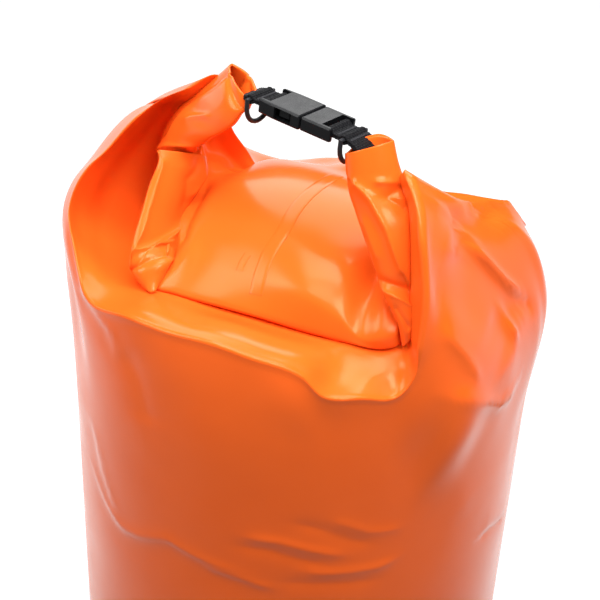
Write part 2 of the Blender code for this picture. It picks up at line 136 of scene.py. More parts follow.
# control points of the sheet, column by column round the bag: the angle at
# the wall, then points from the wall up over the shoulder to the roll
SHELL = [
    (236, [(-87, -129, -50), (-87, -129, 5), (-87, -129, 36), (-89, -126, 52), (-80, -121, 53), (-71, -115, 55), (-62, -106, 56), (-48, -92, 60), (-40, -70, 62), (-36, -60, 59), (-36, -52, 57), (-36, -46, 55), (-36, -42, 52)]),
    (253, [(-45, -148, -50), (-45, -148, 12), (-45, -146, 46), (-47, -144, 64), (-42, -137, 66), (-41, -124, 64), (-41, -106, 58), (-32, -90, 58), (-28, -70, 60), (-22, -60, 59), (-22, -52, 57), (-22, -46, 55), (-22, -42, 52)]),
    (264, [(-16, -154, -50), (-16, -154, 16), (-16, -152, 51), (-17, -149, 68), (-14, -141, 69), (-14, -126, 65), (-17, -104, 57), (-8, -88, 57), (-6, -70, 60), (-4, -60, 59), (-4, -52, 57), (-4, -46, 55), (-4, -42, 52)]),
    (274, [(11, -155, -50), (11, -155, 18), (11, -152, 53), (11, -149, 71), (13, -141, 72), (12, -126, 68), (7, -102, 57), (12, -86, 56), (14, -70, 60), (16, -60, 59), (16, -52, 57), (16, -46, 55), (16, -42, 52)]),
    (284, [(37, -150, -50), (37, -150, 16), (37, -148, 49), (34, -146, 68), (36, -137, 69), (36, -122, 65), (33, -99, 56), (32, -84, 56), (34, -70, 60), (34, -60, 59), (34, -52, 57), (34, -46, 55), (34, -42, 52)]),
    (295, [(66, -140, -50), (66, -140, 10), (65, -140, 42), (64, -137, 59), (64, -128, 61), (60, -115, 60), (56, -97, 56), (54, -82, 56), (54, -68, 60), (54, -60, 59), (54, -52, 57), (54, -46, 55), (54, -42, 52)]),
    (300, [(78, -134, -50), (78, -134, 0), (77, -134, 31), (76, -135, 48), (76, -124, 49), (75, -111, 52), (71, -96, 56), (68, -80, 57), (68, -66, 60), (66, -60, 59), (66, -52, 57), (66, -46, 55), (66, -42, 52)]),
    (309, [(98, -120, -50), (98, -120, -4), (98, -120, 28), (96, -122, 45), (94, -114, 48), (92, -104, 51), (89, -92, 55), (84, -76, 58), (82, -62, 62), (78, -60, 59), (78, -52, 57), (78, -46, 55), (78, -42, 52)]),
    (316, [(111, -108, -52), (111, -108, -10), (111, -108, 25), (112, -107, 42), (110, -102, 46), (106, -96, 53), (102, -88, 58), (94, -74, 60), (92, -60, 64), (86, -60, 59), (86, -52, 57), (86, -46, 55), (86, -42, 52)]),
    (322, [(122, -95, -55), (122, -95, -15), (124, -98, 36), (118, -101, 53), (114, -98, 53), (109, -93, 57), (105, -86, 59), (98, -70, 62), (94, -56, 66), (90, -46, 66), (86, -44, 62), (84, -42, 58), (82, -40, 54)]),
    (329, [(133, -80, -58), (146, -76, 24), (132, -88, 53), (119, -97, 78), (112, -92, 74), (108, -86, 75), (102, -78, 66), (98, -64, 66), (94, -50, 68), (91, -40, 68), (88, -40, 64), (86, -40, 60), (84, -38, 56)]),
    (337, [(143, -61, -60), (150, -50, 30), (135, -74, 71), (118, -93, 102), (108, -87, 98), (104, -82, 86), (101, -72, 74), (98, -58, 70), (94, -44, 70), (91, -36, 72), (89, -40, 68), (88, -44, 62), (86, -40, 57)]),
    (345, [(150, -40, -60), (152, -28, 35), (131, -56, 82), (114, -89, 121), (104, -83, 116), (103, -74, 100), (100, -62, 82), (97, -50, 74), (93, -38, 72), (91, -32, 74), (90, -42, 72), (90, -52, 64), (86, -44, 58)]),
    (353, [(154, -19, -60), (152, -8, 35), (130, -40, 91), (109, -85, 137), (100, -78, 132), (100, -66, 112), (98, -54, 88), (95, -42, 76), (92, -32, 74), (90, -32, 76), (91, -48, 76), (93, -62, 66), (86, -50, 58)]),
    (0, [(155, 0, -58), (153, 10, 33), (132, -14, 88), (100, -76, 154), (93, -69, 148), (96, -56, 122), (96, -44, 92), (93, -34, 78), (90, -26, 76), (88, -30, 79), (91, -54, 79), (96, -70, 66), (86, -54, 58)]),
    (5, [(154, 14, -55), (154, 22, 33), (133, 3, 89), (87, -64, 165), (81, -57, 154), (92, -46, 128), (94, -36, 94), (91, -26, 80), (88, -20, 78), (86, -30, 82), (90, -60, 81), (98, -78, 66), (86, -58, 58)]),
    (9, [(153, 24, -52), (153, 31, 35), (135, 16, 88), (89, -45, 145), (83, -40, 135), (88, -28, 118), (92, -24, 94), (90, -18, 82), (86, -14, 80), (84, -30, 84), (89, -66, 82), (99, -82, 65), (86, -62, 58)]),
    (13, [(151, 35, -50), (153, 38, 36), (139, 27, 83), (106, -4, 122), (99, 6, 110), (92, 2, 106), (90, -6, 94), (88, -8, 84), (84, -8, 82), (83, -32, 86), (88, -72, 83), (104, -84, 62), (86, -64, 58)]),
    (18, [(147, 48, -48), (151, 44, 37), (140, 36, 74), (119, 20, 108), (111, 34, 95), (100, 34, 94), (90, 14, 88), (86, 4, 86), (82, -2, 84), (84, -50, 86), (100, -87, 71), (102, -87, 60), (84, -66, 58)]),
    (25, [(140, 66, -46), (145, 60, 24), (141, 46, 61), (122, 31, 102), (116, 44, 89), (100, 46, 86), (90, 26, 86), (84, 12, 88), (80, 0, 88), (82, -52, 88), (93, -92, 68), (97, -90, 58), (80, -68, 58)]),
    (33, [(130, 84, -46), (128, 84, 8), (121, 74, 38), (126, 40, 87), (108, 50, 74), (98, 44, 80), (88, 32, 86), (82, 8, 92), (78, -18, 94), (74, -60, 84), (81, -93, 63), (87, -93, 57), (70, -70, 58)]),
    (48, [(104, 115, -46), (103, 114, 4), (106, 104, 44), (98, 90, 52), (86, 70, 68), (76, 48, 84), (70, 26, 92), (64, 6, 94), (60, -26, 96), (58, -66, 91), (66, -92, 72), (72, -96, 57), (50, -72, 57)]),
    (66, [(63, 142, -46), (62, 140, -2), (62, 128, 24), (56, 110, 40), (50, 84, 56), (46, 58, 72), (42, 32, 86), (38, 6, 97), (36, -28, 101), (34, -68, 93), (44, -91, 79), (50, -99, 57), (34, -74, 56)]),
    (84, [(16, 154, -46), (16, 152, -4), (17, 138, 20), (15, 114, 38), (13, 88, 60), (12, 60, 78), (10, 34, 86), (8, 8, 98), (8, -28, 103), (8, -66, 94), (13, -89, 78), (17, -103, 59), (12, -76, 56)]),
    (100, [(-27, 153, -46), (-27, 151, -2), (-25, 138, 22), (-25, 114, 40), (-23, 88, 58), (-22, 60, 68), (-20, 34, 84), (-20, 8, 96), (-19, -28, 100), (-18, -64, 91), (-7, -86, 78), (-5, -105, 59), (-8, -78, 56)]),
    (118, [(-73, 137, -46), (-72, 135, -4), (-66, 122, 20), (-60, 100, 38), (-54, 78, 50), (-50, 56, 62), (-48, 34, 78), (-46, 8, 88), (-44, -24, 94), (-42, -62, 87), (-30, -85, 76), (-28, -106, 58), (-24, -80, 56)]),
    (134, [(-108, 111, -46), (-106, 110, -2), (-102, 98, 36), (-62, 52, 55), (-61, 42, 60), (-65, 34, 63), (-67, 24, 68), (-61, 8, 78), (-62, -16, 86), (-56, -60, 84), (-43, -85, 76), (-44, -107, 58), (-36, -82, 57)]),
    (146, [(-129, 87, -46), (-129, 87, 2), (-122, 78, 56), (-64, 34, 80), (-67, 30, 77), (-72, 24, 77), (-72, 14, 81), (-69, 0, 86), (-70, -18, 84), (-62, -62, 80), (-50, -86, 71), (-55, -107, 57), (-42, -84, 57)]),
    (156, [(-142, 63, -46), (-142, 63, 0), (-132, 56, 66), (-64, 12, 109), (-69, 12, 103), (-75, 10, 96), (-77, 6, 91), (-74, -4, 90), (-76, -24, 78), (-66, -62, 76), (-52, -88, 66), (-60, -105, 57), (-46, -84, 57)]),
    (163, [(-148, 45, -46), (-148, 45, 0), (-138, 40, 74), (-57, -8, 143), (-63, -4, 132), (-72, 0, 117), (-79, 2, 102), (-76, -6, 92), (-80, -30, 74), (-68, -62, 78), (-54, -88, 76), (-56, -98, 64), (-48, -84, 57)]),
    (169, [(-152, 30, -46), (-152, 30, 0), (-142, 28, 80), (-59, -16, 163), (-62, -12, 153), (-72, -6, 136), (-81, 0, 117), (-82, -4, 95), (-82, -34, 72), (-70, -62, 75), (-58, -84, 74), (-58, -94, 64), (-48, -82, 57)]),
    (176, [(-155, 11, -46), (-156, 11, 2), (-146, 12, 84), (-76, -22, 152), (-78, -17, 143), (-86, -8, 129), (-93, 0, 112), (-89, -8, 90), (-83, -40, 70), (-71, -62, 73), (-60, -80, 72), (-58, -90, 63), (-48, -80, 57)]),
    (184, [(-155, -11, -46), (-156, -11, 4), (-110, 4, 118), (-96, -28, 139), (-105, -10, 121), (-111, 4, 103), (-113, 12, 84), (-103, 0, 74), (-82, -48, 69), (-71, -64, 71), (-62, -78, 70), (-58, -86, 63), (-48, -78, 57)]),
    (191, [(-152, -30, -46), (-153, -30, 6), (-130, 2, 108), (-105, -40, 130), (-113, -20, 111), (-120, 0, 87), (-118, 8, 68), (-104, -8, 65), (-80, -54, 68), (-70, -66, 70), (-60, -76, 68), (-56, -82, 62), (-46, -76, 57)]),
    (198, [(-147, -48, -46), (-149, -49, 8), (-151, -34, 74), (-119, -55, 109), (-126, -37, 93), (-130, -12, 66), (-117, -2, 51), (-103, -18, 55), (-78, -62, 67), (-68, -68, 68), (-58, -74, 66), (-54, -78, 61), (-44, -74, 56)]),
    (205, [(-140, -66, -46), (-142, -66, 8), (-150, -52, 70), (-124, -66, 103), (-128, -50, 85), (-130, -26, 57), (-110, -24, 49), (-97, -34, 51), (-74, -68, 66), (-64, -68, 66), (-56, -72, 64), (-52, -74, 60), (-42, -70, 56)]),
    (215, [(-127, -89, -48), (-127, -92, 44), (-129, -90, 67), (-128, -84, 83), (-128, -73, 68), (-119, -60, 52), (-95, -58, 49), (-86, -60, 48), (-66, -74, 64), (-58, -66, 64), (-52, -66, 62), (-48, -66, 59), (-40, -62, 56)]),
    (225, [(-110, -110, -50), (-114, -104, 36), (-115, -106, 55), (-112, -104, 66), (-106, -98, 59), (-96, -91, 51), (-81, -86, 49), (-62, -82, 60), (-54, -76, 62), (-48, -66, 61), (-44, -60, 60), (-40, -56, 57), (-36, -52, 54)]),
]
# fold lines in the sheet: points, ridge height and width, dip depth and width, side
FOLDS = [
    ("wing_diagonal", [(114, -38, 128), (120, -34, 116), (124, -32, 106), (136, -14, 79), (141, -5, 67), (146, 8, 55)], 3.2, 2.3, -3.3, 11, 1),
    ("wing_band", [(109, -46, 137), (112, -16, 123), (117, 12, 111)], 2.6, 1.8, -3.6, 6, 1),
    ("wing_band_low", [(111, -49, 135), (117, -13, 119), (120, 24, 106)], 1.4, 2.2, -1.6, 6, 1),
    ("wing_apex_up", [(98, -63, 154), (104, -56, 145), (110, -49, 135)], 1.6, 2.4, 0, 6, 1),
    ("wing_facet_left", [(114, -38, 128), (115, -59, 128), (117, -66, 123)], 1.2, 2.6, 0, 6, 1),
    ("wing_facet_low", [(117, -67, 123), (122, -50, 112), (128, -31, 98)], 1.4, 2.6, -0.8, 7, 1),
    ("wing_low_ridge", [(142, -22, 65), (147, -19, 53), (152, -12, 34)], 2.8, 3.2, -2.2, 9, 1),
    ("wing_dent", [(145, -18, 59), (148, 3, 51), (152, 18, 40)], -2.6, 3.8, 0, 1, 1),
    ("wing_bottom", [(156, -7, 2), (155, -23, -2), (153, -37, 1), (150, -59, 17), (142, -79, 32), (131, -91, 38)], 2.6, 4.6, 0, 11, -1),
    ("wing_valley", [(-106, 0, 113), (-114, 0, 101), (-123, -5, 86), (-131, -19, 72), (-133, -37, 65), (-129, -62, 68)], -0.9, 12, 0, 1, 1),
    ("horn_crevice", [(-69, -15, 85), (-61, -38, 87), (-58, -55, 84), (-55, -71, 79), (-55, -85, 75)], -5.5, 6, 0, 1, 1),
    ("wing_inner_soft", [(-127, -17, 57), (-121, -48, 51), (-106, -75, 50)], 1.6, 7, 0, 1, 1),
    ("wing_soft", [(128, -85, 82), (137, -74, 62), (147, -62, 36)], 1.6, 4, -0.9, 10, 1),
    ("rib_valley", [(108, -60, 141), (115, -74, 127), (123, -81, 99), (128, -88, 73)], -2.4, 6, 0, 1, 1),
    ("rib_band", [(102, -77, 152), (108, -84, 138), (116, -91, 111), (119, -96, 79), (120, -99, 56)], 1.6, 4, 0, 1, 1),
    ("wall_fold_a", [(-96, -122, -91), (-78, -134, -109), (-60, -143, -117), (-42, -149, -111), (-18, -154, -98), (-1, -155, -101), (11, -155, -103), (44, -149, -106)], 1, 4.2, -0.8, 9, 1),
    ("wall_dent_a", [(28, -152, -83), (52, -146, -82), (69, -139, -88), (86, -129, -93)], -1.122, 4.725, 0, 1, 1),
    ("wall_dent_b", [(62, -142, -55), (80, -133, -61), (95, -122, -72), (109, -111, -80)], -1.056, 4.725, 0, 1, 1),
    ("wall_dent_c", [(57, -144, -109), (87, -128, -110), (112, -107, -113)], -1.056, 4.725, 0, 1, 1),
    ("wall_ridge_a", [(33, -151, -73), (57, -144, -73), (80, -133, -80), (96, -122, -86)], 1.43, 3.675, 0, 1, 1),
    ("wall_ridge_b", [(70, -138, -98), (91, -125, -100), (111, -108, -100), (121, -97, -96)], 1.43, 3.675, 0, 1, 1),
    ("wall_dent_d", [(154, 14, -141), (154, -15, -128), (152, -33, -124)], -1.1, 4.2, 0.55, 6, 1),
    ("wall_edge_a", [(-103, -116, 50), (-84, -129, 50), (-65, -139, 44), (-58, -143, 26)], 0.88, 3.15, -0.88, 7, 1),
    ("wall_edge_b", [(-89, -127, -47), (-79, -133, -81), (-63, -142, -112)], 0.77, 3.675, -0.88, 9, 1),
    ("wall_ridge_c", [(10, -155, -108), (34, -151, -110), (56, -145, -116)], 1.1, 3.15, -0.5775, 7, 1),
    ("wall_ridge_d", [(84, -130, -52), (105, -114, -67), (121, -96, -71)], 0.99, 3.15, 0, 1, 1),
    ("wall_soft_a", [(-55, -143, 40), (-41, -149, 23), (-30, -152, -11)], -1.4, 12.6, 0, 1, 1),
    ("wall_soft_b", [(134, -88, 10), (141, -72, -31), (148, -47, -93)], 0.6, 14, 0, 1, 1),
]
# the two horns: outer edge, inner edge, half thickness, from root to tip
LH_UP = [((-98, -18, 92), (-73, -30, 107), 4),
      ((-101, -16, 96), (-66, -34, 115), 7),
      ((-100, -12, 106), (-58, -40, 125), 8),
      ((-94, -6, 121), (-49, -45, 136), 8),
      ((-84, -5, 133), (-40, -47, 144), 8),
      ((-73, -6, 145), (-32, -48, 152), 9),
      ((-59, -10, 161), (-26, -46, 161), 8),
      ((-50, -14, 172), (-21, -43, 169), 6.8)]
LH_LO = [((-81, -50, 120), (-64, -22, 106), 5),
      ((-80, -56, 113), (-61, -26, 97), 7),
      ((-79, -67, 105), (-62, -34, 89), 7.5),
      ((-76, -81, 95), (-64, -48, 77), 7.5),
      ((-74, -94, 84), (-60, -64, 70), 7.5),
      ((-73, -101, 76), (-55, -77, 70), 7),
      ((-71, -106, 69), (-49, -91, 72), 6.5),
      ((-65, -108, 63), (-50, -98, 66), 5),
      ((-57, -110, 59), (-51, -105, 60), 3)]
RH = [((110, -87, 71), (105, -89, 64), 2.5),
      ((109, -84, 82), (100, -90, 83), 5.5),
      ((107, -80, 90), (91, -89, 96), 7),
      ((104, -75, 106), (83, -84, 105), 8),
      ((99, -69, 126), (72, -79, 122), 8.5),
      ((93, -62, 142), (63, -74, 135), 8.5),
      ((86, -56, 151), (56, -70, 146), 8.5),
      ((79, -54, 164), (51, -64, 155), 8.5),
      ((74, -51, 175), (48, -60, 163), 8)]
# welded laps: a line on the sheet, width and rise
SEAMS = [
    ("pillow_seam", [(12, 14, 96), (12, -2, 100), (11, -17, 103), (10, -32, 103), (10, -48, 100), (11, -60, 97), (10, -69, 92), (9, -76, 88), (9, -84, 82), (10, -90, 76), (11, -95, 71)], 9, 0.35),
    ("pillow_tab", [(-4, -78, 85), (-5, -82, 82), (-5, -87, 78)], 5, 0.25),
    ("rear_seam", [(-16.2, 154.2, -412), (-16.2, 154.2, -380), (-16.2, 154.2, -330), (-16.2, 154.2, -280), (-16.2, 154.2, -230), (-16.2, 154.2, -180), (-16.2, 154.2, -130), (-16.2, 154.2, -80), (-16.2, 154.2, -45)], 12, 0.6),
]


# =====================================================================
#  materials
# =====================================================================
def new_mat(name):
    m = bpy.data.materials.new(name)
    m.use_nodes = True
    return m, m.node_tree, m.node_tree.nodes["Principled BSDF"]


def node(nt, kind, **kw):
    n = nt.nodes.new(kind)
    for k, v in kw.items():
        if k in n.inputs:
            n.inputs[k].default_value = v
        else:
            setattr(n, k, v)
    return n


def coated_fabric(name, tint=1.0, inside=False):
    """Glossy PVC-coated fabric: a fine scrim shows faintly through the
    coating, with soft mottling and a slightly uneven gloss."""
    m, nt, b = new_mat(name)
    L = nt.links.new
    tc = node(nt, "ShaderNodeTexCoord")
    # broad mottling of the colour
    n1 = node(nt, "ShaderNodeTexNoise", Scale=7.0, Detail=3.0, Roughness=0.55)
    L(tc.outputs["Object"], n1.inputs["Vector"])
    n2 = node(nt, "ShaderNodeTexNoise", Scale=24.0, Detail=2.0, Roughness=0.5)
    L(tc.outputs["Object"], n2.inputs["Vector"])
    ramp = node(nt, "ShaderNodeValToRGB")
    ramp.color_ramp.elements[0].position = 0.30
    ramp.color_ramp.elements[1].position = 0.72
    base = (0.84, 0.112, 0.010) if not inside else (0.80, 0.095, 0.014)
    lo = tuple(c * 0.96 * tint for c in base)
    hi = (min(base[0] * 1.03 * tint, 1.0), base[1] * 1.10 * tint, base[2] * 1.3 * tint)
    ramp.color_ramp.elements[0].color = (*lo, 1)
    ramp.color_ramp.elements[1].color = (*hi, 1)
    mixn = node(nt, "ShaderNodeMix", data_type='FLOAT')
    mixn.inputs[0].default_value = 0.35
    L(n1.outputs["Fac"], mixn.inputs[2])
    L(n2.outputs["Fac"], mixn.inputs[3])
    L(mixn.outputs[0], ramp.inputs["Fac"])
    L(ramp.outputs["Color"], b.inputs["Base Color"])
    # uneven gloss
    r1 = node(nt, "ShaderNodeMapRange")
    r1.inputs["From Min"].default_value, r1.inputs["From Max"].default_value = 0.3, 0.7
    r1.inputs["To Min"].default_value, r1.inputs["To Max"].default_value = (0.17, 0.26) if not inside else (0.42, 0.55)
    L(n2.outputs["Fac"], r1.inputs["Value"])
    L(r1.outputs["Result"], b.inputs["Roughness"])
    # woven scrim under the coating: two crossing fine ribs, 1.1 mm apart
    uv = tc.outputs["UV"]
    wv = []
    for rot in (0.0, pi / 2):
        mp = node(nt, "ShaderNodeMapping")
        mp.inputs["Rotation"].default_value = (0, 0, rot)
        L(uv, mp.inputs["Vector"])
        w = node(nt, "ShaderNodeTexWave", Scale=145.0, Distortion=0.4, Detail=0.0)
        w.wave_profile = 'SIN'
        L(mp.outputs["Vector"], w.inputs["Vector"])
        wv.append(w)
    mx = node(nt, "ShaderNodeMath", operation='MAXIMUM')
    L(wv[0].outputs["Fac"], mx.inputs[0])
    L(wv[1].outputs["Fac"], mx.inputs[1])
    b0 = node(nt, "ShaderNodeBump")
    b0.inputs["Strength"].default_value = 0.018
    b0.inputs["Distance"].default_value = 0.0003
    L(mx.outputs[0], b0.inputs["Height"])
    L(b0.outputs["Normal"], b.inputs["Normal"])
    b.inputs["IOR"].default_value = 1.50
    b.inputs["Specular Tint"].default_value = (1.0, 0.46, 0.30, 1.0)
    b.inputs["Subsurface Weight"].default_value = 0.0
    return m


def black_plastic(name, base=(0.0045, 0.0048, 0.0055), rough=(0.17, 0.25), grain=0.12):
    m, nt, b = new_mat(name)
    L = nt.links.new
    tc = node(nt, "ShaderNodeTexCoord")
    n1 = node(nt, "ShaderNodeTexNoise", Scale=2600.0, Detail=2.0, Roughness=0.6)
    n2 = node(nt, "ShaderNodeTexNoise", Scale=160.0, Detail=4.0, Roughness=0.6)
    L(tc.outputs["Object"], n1.inputs["Vector"])
    L(tc.outputs["Object"], n2.inputs["Vector"])
    geo = node(nt, "ShaderNodeNewGeometry")
    edge = node(nt, "ShaderNodeMapRange")
    edge.inputs["From Min"].default_value, edge.inputs["From Max"].default_value = 0.50, 0.62
    L(geo.outputs["Pointiness"], edge.inputs["Value"])
    mix = node(nt, "ShaderNodeMix", data_type='RGBA')
    mix.inputs[6].default_value = (*base, 1)
    mix.inputs[7].default_value = (*(min(c * 1.25, 1) for c in base), 1)
    mul = node(nt, "ShaderNodeMath", operation='MULTIPLY')
    L(edge.outputs["Result"], mul.inputs[0])
    L(n2.outputs["Fac"], mul.inputs[1])
    L(mul.outputs[0], mix.inputs[0])
    L(mix.outputs[2], b.inputs["Base Color"])
    r = node(nt, "ShaderNodeMapRange")
    r.inputs["From Min"].default_value, r.inputs["From Max"].default_value = 0.3, 0.7
    r.inputs["To Min"].default_value, r.inputs["To Max"].default_value = rough
    L(n2.outputs["Fac"], r.inputs["Value"])
    L(r.outputs["Result"], b.inputs["Roughness"])
    b.inputs["Specular IOR Level"].default_value = 0.155
    bp = node(nt, "ShaderNodeBump")
    bp.inputs["Strength"].default_value = grain
    bp.inputs["Distance"].default_value = 0.00008
    L(n1.outputs["Fac"], bp.inputs["Height"])
    L(bp.outputs["Normal"], b.inputs["Normal"])
    return m


def webbing_mat(name):
    """Black nylon webbing: ribs across, a diagonal twill, fuzzy sheen."""
    m, nt, b = new_mat(name)
    L = nt.links.new
    tc = node(nt, "ShaderNodeTexCoord")
    uv = tc.outputs["UV"]
    w1 = node(nt, "ShaderNodeTexWave", Scale=210.0, Distortion=0.6, Detail=1.0)
    w1.bands_direction = 'X'
    w2 = node(nt, "ShaderNodeTexWave", Scale=150.0, Distortion=0.5, Detail=1.0)
    w2.bands_direction = 'Y'
    w3 = node(nt, "ShaderNodeTexWave", Scale=170.0, Distortion=0.3, Detail=0.0)
    w3.bands_direction = 'DIAGONAL'
    for w in (w1, w2, w3):
        L(uv, w.inputs["Vector"])
    a = node(nt, "ShaderNodeMath", operation='MULTIPLY')
    L(w1.outputs["Fac"], a.inputs[0])
    L(w2.outputs["Fac"], a.inputs[1])
    c = node(nt, "ShaderNodeMath", operation='MULTIPLY_ADD')
    L(w3.outputs["Fac"], c.inputs[0])
    c.inputs[1].default_value = 0.45
    L(a.outputs[0], c.inputs[2])
    ramp = node(nt, "ShaderNodeValToRGB")
    ramp.color_ramp.elements[0].color = (0.004, 0.004, 0.005, 1)
    ramp.color_ramp.elements[1].color = (0.009, 0.009, 0.0098, 1)
    L(c.outputs[0], ramp.inputs["Fac"])
    L(ramp.outputs["Color"], b.inputs["Base Color"])
    b.inputs["Roughness"].default_value = 0.72
    b.inputs["Sheen Weight"].default_value = 0.02
    b.inputs["Specular IOR Level"].default_value = 0.08
    b.inputs["Sheen Roughness"].default_value = 0.45
    bp = node(nt, "ShaderNodeBump")
    bp.inputs["Strength"].default_value = 0.8
    bp.inputs["Distance"].default_value = 0.0004
    L(c.outputs[0], bp.inputs["Height"])
    L(bp.outputs["Normal"], b.inputs["Normal"])
    return m


FABRIC = coated_fabric("coated_fabric_outer")
FABRIC_IN = coated_fabric("coated_fabric_inner", inside=True)
PLASTIC = black_plastic("buckle_black")
RINGS = black_plastic("ring_black", base=(0.013, 0.013, 0.015), rough=(0.30, 0.40), grain=0.12)
WEB = webbing_mat("black_webbing")
THREAD = black_plastic("black_thread", base=(0.03, 0.03, 0.033), rough=(0.6, 0.8), grain=0.6)

# =====================================================================
#  bag shell: one sheet from the base to the roll
# =====================================================================
WALL_Z = (-438, -425, -340, -240, -140)
WALL_R = (152.4, 153.5, 155, 155, 155)
G = []
for th, pts in SHELL:
    a = radians(th)
    G.append([(r * cos(a), r * sin(a), z) for z, r in zip(WALL_Z, WALL_R)] + list(pts))
G = np.array(G, float)                       # columns, rows, xyz
theta = np.array([c[0] for c in SHELL])
# how sharp the shoulder crease and the ridges are, by column
sharpC = np.ones(len(SHELL)) * 0.9
for i, th in enumerate(theta):
    if 28 <= th <= 130:
        sharpC[i] = 0.25
sharpC = sharpC[:, None]
rows = np.swapaxes(G, 0, 1)                  # rows, columns, xyz
SUBV = [3, 8, 16, 36, 40, 22, 10, 8, 8, 8, 8, 8, 8, 8, 8, 8, 6]
dense = hermite(rows, SUBV, sharp={8: sharpC, 15: 0.45, 16: 0.85})
cols = np.swapaxes(dense, 0, 1)              # columns, fine rows, xyz
NU = 9
V = hermite(cols, NU, closed=True)           # fine columns, fine rows, xyz
V[..., 2] += LIFT
V /= 1000.0


def smooth_grid(V, n, w=0.5, lo=0, closed=True):
    keep = 1 - 0.9 * np.exp(-((np.arange(V.shape[1]) - sum(SUBV[:8])) / 1.3) ** 2)[None, :, None]
    for _ in range(n):
        a = (np.roll(V, 1, 0) + np.roll(V, -1, 0)) / 2
        b = V.copy()
        b[:, 1:-1] = (V[:, :-2] + V[:, 2:]) / 2
        S = (a + b) / 2
        S[:, :lo] = V[:, :lo]
        S[:, -1] = V[:, -1]
        V = V * (1 - w * keep) + S * w * keep
    return V


V = smooth_grid(V, 3, 0.5, lo=64)
V0 = V.copy()


def grid_normals(V, closed=True):
    du = np.roll(V, -1, 0) - np.roll(V, 1, 0)
    if not closed:
        du[0], du[-1] = V[1] - V[0], V[-1] - V[-2]
    dv = np.gradient(V, axis=1)
    N = np.cross(du, dv)
    return N / (np.linalg.norm(N, axis=-1, keepdims=True) + 1e-12)


def fold(V, N, pts, ridge, rw, dip, dw, side):
    """Moves the sheet near a fold line: a ridge or valley along it, and a
    dip on one side of it. All in millimetres."""
    P = np.array(pts, float)
    P[:, 2] += LIFT
    X = V * 1000.0
    best = np.full(X.shape[:2], 1e9)
    sgn = np.zeros(X.shape[:2])
    par = np.zeros(X.shape[:2])
    seg = np.linalg.norm(np.diff(P, axis=0), axis=1)
    total, run = seg.sum(), 0.0
    for k in range(len(P) - 1):
        d = (P[k + 1] - P[k]) / seg[k]
        t = np.clip((X - P[k]) @ d, 0, seg[k])
        foot = P[k] + t[..., None] * d
        off = X - foot
        r = np.linalg.norm(off, axis=-1)
        s = np.einsum("ijk,ijk->ij", np.cross(d, N), off)
        m = r < best
        best = np.where(m, r, best)
        sgn = np.where(m, s, sgn)
        par = np.where(m, (run + t) / total, par)
        run += seg[k]
    taper = np.clip(np.sin(pi * np.clip(par, 0.04, 0.96)) * 1.9, 0, 1) * np.exp(-((np.clip(par, 0, 1) - par) ** 2))
    end = np.where((par <= 0) | (par >= 1), np.exp(-(best / (rw * 1.2)) ** 2), 1.0)
    amp = ridge * np.exp(-((best / rw) ** 1.3)) + dip * np.where(sgn * side > 0, (best / dw) * np.exp(1 - best / dw), 0.0)
    return V + N * (amp * taper * end / 1000.0)[..., None]


NRM = grid_normals(V)
if np.einsum("ijk,ijk->", NRM[:, 10:20], V[:, 10:20] * np.array([1, 1, 0])) < 0:
    NRM = -NRM
for nm, pts, ra, rw, da, dw, sd in FOLDS:
    V = fold(V, NRM, pts, ra, rw, da, dw, sd)
# the shoulder crease and the ridges stand a little proud, as a welded sheet
# does where it is folded over
cr = sum(SUBV[:8])
lip = np.exp(-((np.arange(V.shape[1]) - cr) / 1.2) ** 2)
lip_u = hermite(np.array([[1.0 if (th >= 180 or th <= 30) else 0.0] for th in theta]), NU, closed=True)[:, 0]
tang = np.gradient(V, axis=1)
tang /= np.linalg.norm(tang, axis=-1, keepdims=True) + 1e-12
lipdir = (tang[:, cr - 4] - tang[:, cr + 4])
lipdir /= np.linalg.norm(lipdir, axis=-1, keepdims=True) + 1e-9
V = V + (lipdir[:, None] * (lip[None] * np.clip(lip_u, 0, 1)[:, None] * 0.0016)[..., None])


def shell_uv(A, B):
    nu, nv = V.shape[:2]
    u0 = A / nu * 0.974
    u1 = (A + 1) / nu * 0.974
    v0, v1 = B * 0.004, (B + 1) * 0.004
    return np.stack([np.stack([u0, v0], -1), np.stack([u1, v0], -1), np.stack([u1, v1], -1), np.stack([u0, v1], -1)], -2)


shell = grid_mesh("bag_shell", V, FABRIC, uv=shell_uv)
md = shell.modifiers.new("sheet", 'SOLIDIFY')
md.thickness = 0.0009
md.offset = -1.0
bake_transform(shell)

# =====================================================================
#  horns
# =====================================================================
FRONT = -1.0


